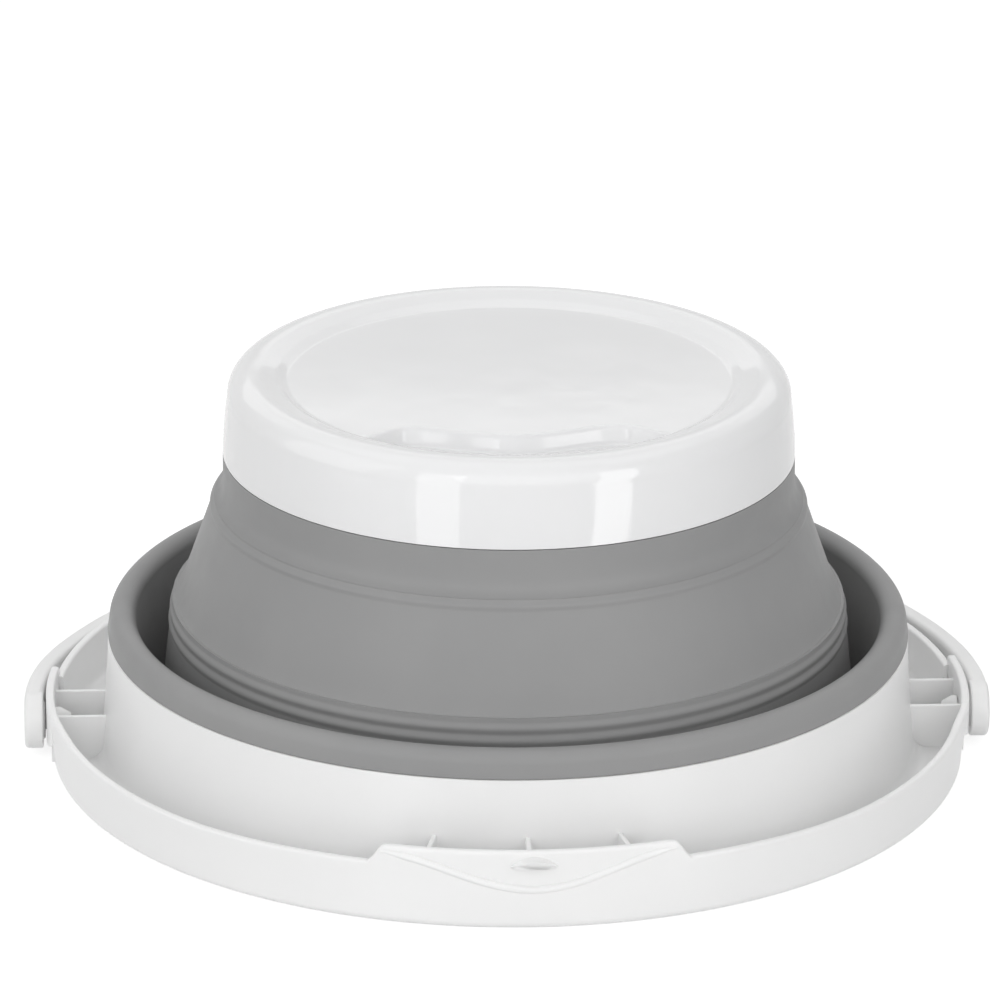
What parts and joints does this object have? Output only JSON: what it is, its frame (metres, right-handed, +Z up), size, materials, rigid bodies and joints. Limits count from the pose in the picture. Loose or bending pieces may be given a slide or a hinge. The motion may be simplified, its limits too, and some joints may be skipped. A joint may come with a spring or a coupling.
{
  "type": "collapsible washbasin",
  "caption": "Round folding washbasin turned over on its rim: rigid rim with ears and tabs, soft wall folded in two steps, rigid base with a finger grip, swinging bail handle.",
  "frame": {"origin": "on the basin's axis, in the plane of the rim face that the turned-over basin stands on", "axes": "+Z up along the basin's axis from the rim to the base, +X along the line of the handle's pivots, -Y towards the front tab; the handle lies back along +Y"},
  "size_m": [0.29, 0.2841, 0.12],
  "materials": {
    "rim_white": "satin white polypropylene",
    "base_white": "glossy white polypropylene",
    "handle_white": "satin white polypropylene",
    "soft_grey": "matt grey soft plastic"
  },
  "bodies": {
    "rim": {"rim_frame": "rim_white", "outer_band": "soft_grey", "outer_web": "soft_grey"},
    "middle": {"middle_ring": "soft_grey", "inner_web": "soft_grey"},
    "base": {"base_cuff": "soft_grey", "base_pan": "base_white"},
    "handle": {"bail_handle": "handle_white"}
  },
  "joints": [
    {"name": "outer_fold", "type": "slide", "parent": "rim", "child": "middle", "axis": [0, 0, 1], "range_m": [0, 0.0652], "deforming": ["outer_web"]},
    {"name": "inner_fold", "type": "slide", "parent": "middle", "child": "base", "axis": [0, 0, 1], "range_m": [-0.063, 0], "deforming": ["inner_web"]},
    {"name": "handle_swing", "type": "hinge", "parent": "rim", "child": "handle", "pos_m": [0, 0, 0.0104], "axis": [1, 0, 0], "range_deg": [-179.7, 0.8]}
  ]
}
